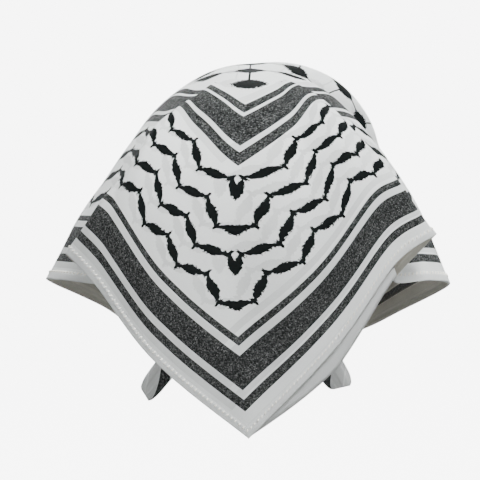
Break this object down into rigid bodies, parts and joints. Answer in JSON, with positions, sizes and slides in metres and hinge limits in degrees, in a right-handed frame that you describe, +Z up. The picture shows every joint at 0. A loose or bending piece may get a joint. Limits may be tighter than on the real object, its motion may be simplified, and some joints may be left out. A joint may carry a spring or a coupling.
{
  "type": "keffiyeh bandana tied as a hood",
  "caption": "Square cotton keffiyeh bandana folded to a triangle and knotted under the chin as a hollow hood, with a back flap and two tails.",
  "frame": {"origin": "the inside of the crown, where the cloth rests on the top of the head", "axes": "+Z up, +Y towards the face opening, +X to the right as seen from behind"},
  "size_m": [0.2461, 0.2097, 0.2337],
  "materials": {
    "crown": "printed white cotton, matt",
    "flap_outer": "printed white cotton, matt",
    "flap_under": "printed white cotton, matt",
    "side_left": "printed white cotton, matt",
    "side_right": "printed white cotton, matt",
    "knot": "printed white cotton, matt",
    "tail_left": "printed white cotton, matt",
    "tail_right": "printed white cotton, matt"
  },
  "bodies": {
    "root": {"crown": "crown", "flap_outer": "flap_outer", "flap_under": "flap_under", "side_left": "side_left", "side_right": "side_right", "knot": "knot", "tail_left": "tail_left", "tail_right": "tail_right"}
  },
  "joints": []
}
